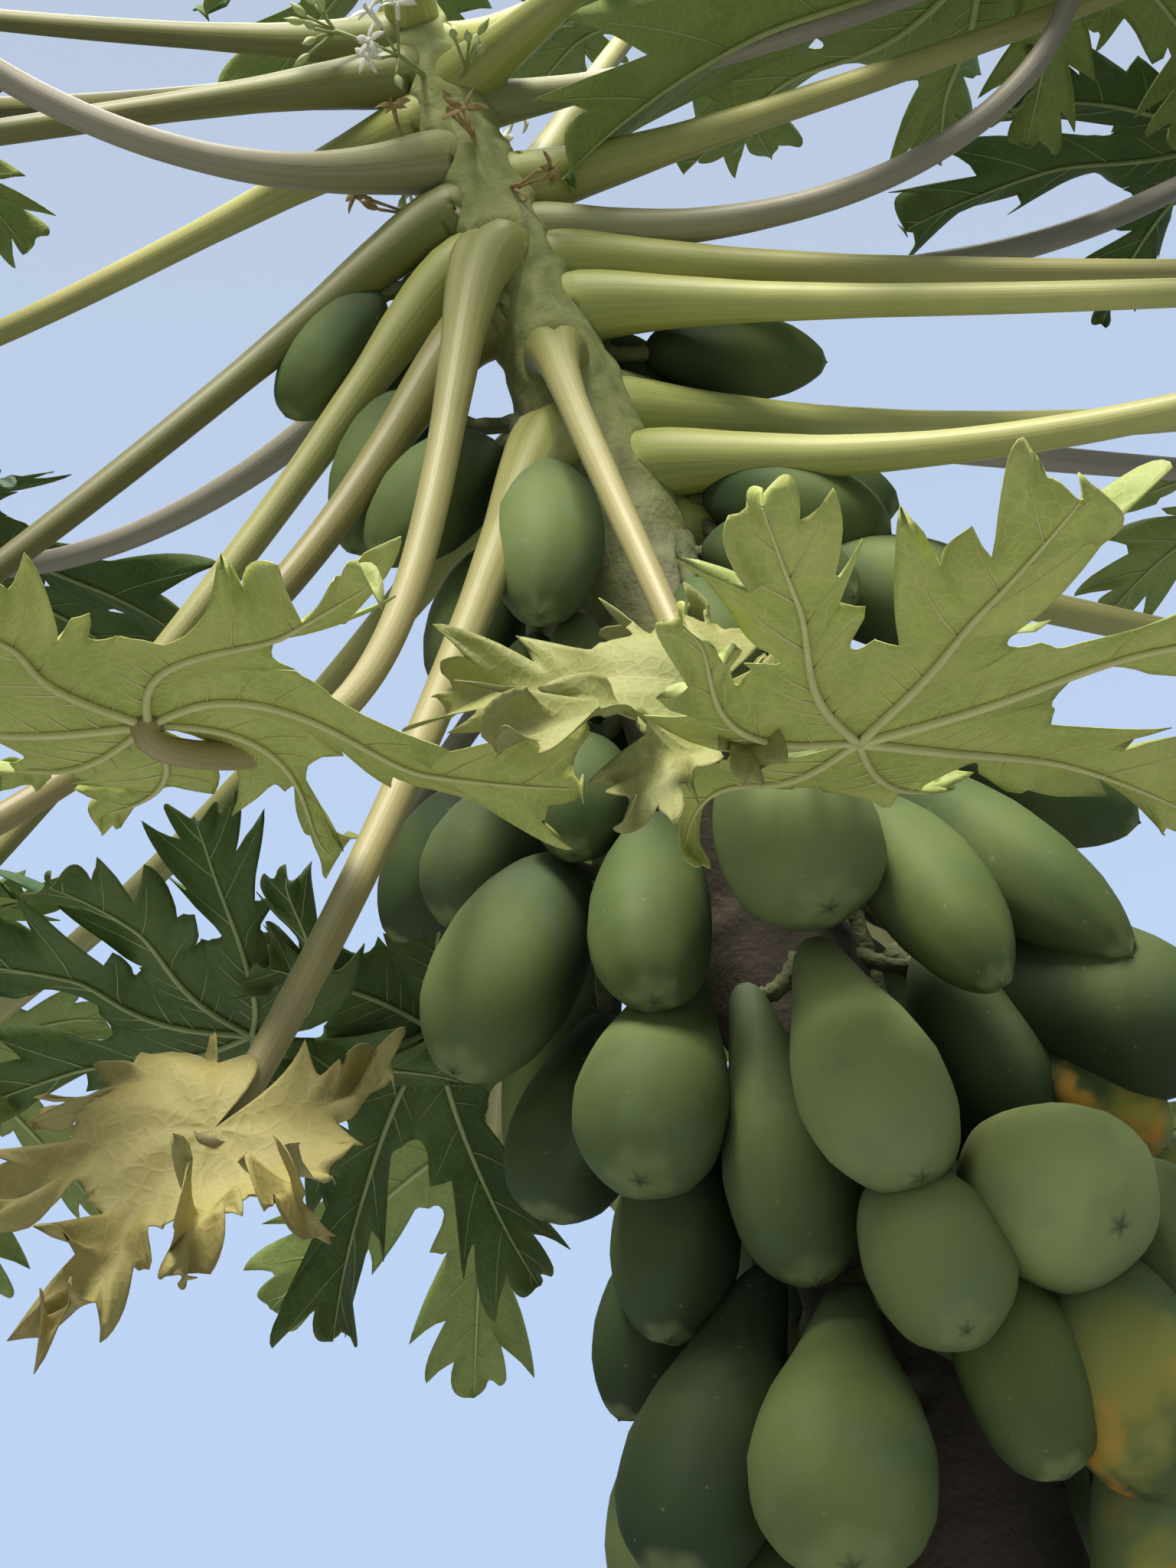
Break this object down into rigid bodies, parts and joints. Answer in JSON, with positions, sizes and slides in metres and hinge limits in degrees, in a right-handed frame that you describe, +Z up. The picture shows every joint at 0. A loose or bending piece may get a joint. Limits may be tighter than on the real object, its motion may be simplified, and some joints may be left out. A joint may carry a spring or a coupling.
{
  "type": "papaya tree",
  "caption": "Whole papaya tree with a leaning, tapering trunk, long-stalked lobed leaves all round the top and close bunches of green fruit under them.",
  "frame": {"origin": "centre of the trunk's flat cut at ground level", "axes": "+Z up, +Y away from the picture's viewer, +X to the viewer's right; the trunk leans towards -X"},
  "size_m": [2.5193, 2.1014, 4.3482],
  "materials": {
    "bark": "matt brown-grey bark with leaf scars, turning to smooth green stem at the top",
    "young_growth": "soft pale green growing tip and young leaves",
    "leaf": "satin leaf blades, dark green above and yellow-green below, on smooth pale stalks",
    "fruit": "matt blue-green skin with a faint bloom, a few fruit turning yellow and orange"
  },
  "bodies": {
    "root": {"trunk": "bark", "growing_tip": "young_growth", "leaf_01": "leaf", "leaf_02": "leaf", "leaf_03": "leaf", "leaf_04": "leaf", "leaf_05": "leaf", "leaf_06": "leaf", "leaf_07": "leaf", "leaf_08": "leaf", "leaf_09": "leaf", "leaf_10": "leaf", "leaf_11": "leaf", "leaf_12": "leaf", "leaf_13": "leaf", "leaf_14": "leaf", "leaf_15": "leaf", "leaf_16": "leaf", "leaf_17": "leaf", "leaf_18": "leaf", "leaf_19": "leaf", "leaf_20": "leaf", "leaf_21": "leaf", "leaf_22": "leaf", "leaf_23": "leaf", "leaf_24": "leaf", "leaf_25": "leaf", "leaf_26": "leaf", "leaf_27": "leaf", "leaf_28": "leaf", "leaf_29": "leaf", "leaf_30": "leaf", "leaf_31": "leaf", "leaf_32": "leaf", "leaf_33": "leaf", "leaf_34": "leaf", "fruit_bunch_01": "fruit", "fruit_bunch_02": "fruit", "fruit_bunch_03": "fruit", "fruit_bunch_04": "fruit", "fruit_bunch_05": "fruit", "fruit_bunch_06": "fruit", "fruit_bunch_07": "fruit", "fruit_bunch_08": "fruit", "fruit_bunch_09": "fruit", "fruit_bunch_10": "fruit", "fruit_bunch_11": "fruit", "fruit_bunch_12": "fruit", "fruit_bunch_13": "fruit", "fruit_bunch_14": "fruit", "fruit_bunch_15": "fruit", "fruit_bunch_16": "fruit", "fruit_bunch_17": "fruit", "fruit_bunch_18": "fruit", "fruit_bunch_19": "fruit", "fruit_bunch_20": "fruit", "fruit_bunch_21": "fruit", "fruit_bunch_22": "fruit"}
  },
  "joints": []
}
